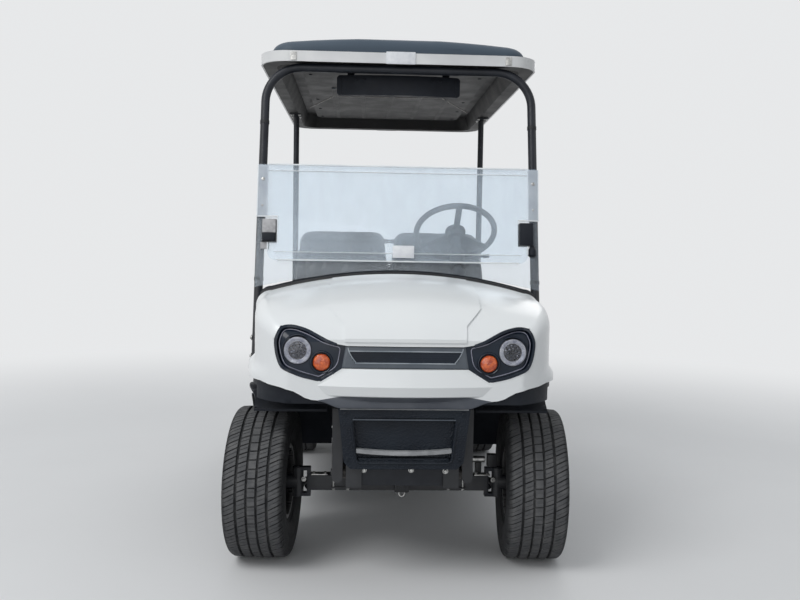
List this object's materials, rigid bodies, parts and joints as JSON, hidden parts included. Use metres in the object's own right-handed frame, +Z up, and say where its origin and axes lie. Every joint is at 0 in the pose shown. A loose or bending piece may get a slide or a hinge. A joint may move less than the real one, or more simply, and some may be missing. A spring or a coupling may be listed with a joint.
{
  "type": "golf cart",
  "caption": "Four-seat electric golf cart with back-to-back benches, folding windscreen, hard roof and steered front wheels on a leaf-sprung beam axle.",
  "frame": {"origin": "on the ground, at the middle of the overall length and width", "axes": "+Z up, front towards -Y, +X towards the cart's left, where the driver sits"},
  "size_m": [1.2382, 2.78, 2.03],
  "materials": {
    "black_steel": "powder coat",
    "spring_steel": "satin",
    "cast_grey": "as cast",
    "black_plastic": "fine grain",
    "white_gloss": "gloss",
    "slate_gloss": "gloss",
    "lamp_lens": "clear lens over a bright reflector",
    "amber_lens": "gloss",
    "red_lens": "gloss",
    "floor_mat": "ribbed",
    "seat_vinyl": "grained",
    "deck_plate": "satin",
    "clear_pane": "polished",
    "roof_black": "satin",
    "silver_trim": "satin",
    "wheel_grip": "soft",
    "tyre_rubber": "dull",
    "alloy_black": "gloss black with bright edges"
  },
  "bodies": {
    "chassis": {"frame": "black_steel", "front_axle": "black_steel", "leaf_springs": "spring_steel", "shock_absorbers": "black_steel", "rear_axle": "cast_grey", "drive_motor": "black_steel", "battery_pack": "black_plastic", "front_cowl": "white_gloss", "lamp_band": "slate_gloss", "headlamps": "lamp_lens", "turn_lamps": "amber_lens", "front_bumper": "black_plastic", "wheel_liners": "black_plastic", "dashboard": "black_plastic", "floor_pan": "floor_mat", "side_sills": "black_plastic", "rear_body": "white_gloss", "front_seat_backs": "seat_vinyl", "rear_seat_backs": "seat_vinyl", "seat_hinges": "black_steel", "seat_frame": "black_steel", "footplate": "deck_plate", "front_hoop": "black_steel", "windscreen_lower": "clear_pane", "windscreen_folded": "clear_pane", "roof": "roof_black", "roof_trim": "silver_trim", "rear_posts": "black_steel", "mirror": "black_plastic", "steering_column": "black_plastic", "pedals": "black_steel", "tail_lamps": "red_lens"},
    "wheel_front_left": {"front_left_tyre": "tyre_rubber", "front_left_rim": "alloy_black"},
    "wheel_front_right": {"front_right_tyre": "tyre_rubber", "front_right_rim": "alloy_black"},
    "wheel_rear_left": {"rear_left_tyre": "tyre_rubber", "rear_left_rim": "alloy_black"},
    "wheel_rear_right": {"rear_right_tyre": "tyre_rubber", "rear_right_rim": "alloy_black"},
    "steer_left": {"knuckle_left": "black_steel"},
    "steer_right": {"knuckle_right": "black_steel"},
    "steer_link": {"tie_rod": "black_steel"},
    "hand_wheel": {"steering_wheel": "wheel_grip"},
    "front_seat": {"front_seat_cushion": "seat_vinyl", "front_seat_board": "black_plastic"},
    "rear_seat": {"rear_seat_cushion": "seat_vinyl", "rear_seat_deck": "deck_plate"}
  },
  "joints": [
    {"name": "steer_left_kingpin", "type": "hinge", "parent": "chassis", "child": "steer_left", "pos_m": [0.375, -0.96, 0.277], "axis": [0, 0, 1], "range_deg": [-24, 32]},
    {"name": "steer_right_kingpin", "type": "hinge", "parent": "chassis", "child": "steer_right", "pos_m": [-0.375, -0.96, 0.277], "axis": [0, 0, 1], "range_deg": [-24, 32]},
    {"name": "tie_rod_ball", "type": "hinge", "parent": "steer_left", "child": "steer_link", "pos_m": [0.36142, -0.83876, 0.2237], "axis": [0, 0, 1], "range_deg": [-32, 24]},
    {"name": "steering_wheel_turn", "type": "hinge", "parent": "chassis", "child": "hand_wheel", "pos_m": [0.268, -0.328, 1.228], "axis": [0, 0.6428, 0.766], "range_deg": [-288, 384]},
    {"name": "front_seat_lid", "type": "hinge", "parent": "chassis", "child": "front_seat", "pos_m": [0, 0.28, 0.6963], "axis": [-1, 0, 0], "range_deg": [0, 45]},
    {"name": "rear_seat_flip", "type": "hinge", "parent": "chassis", "child": "rear_seat", "pos_m": [0, 1.01, 0.6973], "axis": [-1, 0, 0], "range_deg": [0, 180]},
    {"name": "front_left_spin", "type": "hinge", "parent": "steer_left", "child": "wheel_front_left", "pos_m": [0.4977, -0.96858, 0.277], "axis": [0.9976, -0.0698, 0], "continuous": true},
    {"name": "front_right_spin", "type": "hinge", "parent": "steer_right", "child": "wheel_front_right", "pos_m": [-0.4977, -0.95142, 0.277], "axis": [0.9976, -0.0698, 0], "continuous": true},
    {"name": "rear_left_spin", "type": "hinge", "parent": "chassis", "child": "wheel_rear_left", "pos_m": [0.498, 0.71, 0.277], "axis": [1, 0, 0], "continuous": true},
    {"name": "rear_right_spin", "type": "hinge", "parent": "chassis", "child": "wheel_rear_right", "pos_m": [-0.498, 0.71, 0.277], "axis": [1, 0, 0], "continuous": true}
  ],
  "couplings": [
    {"joint": "steer_right_kingpin", "follows": "steer_left_kingpin", "ratio": 1},
    {"joint": "tie_rod_ball", "follows": "steer_left_kingpin", "ratio": -1},
    {"joint": "steering_wheel_turn", "follows": "steer_left_kingpin", "ratio": 12}
  ]
}
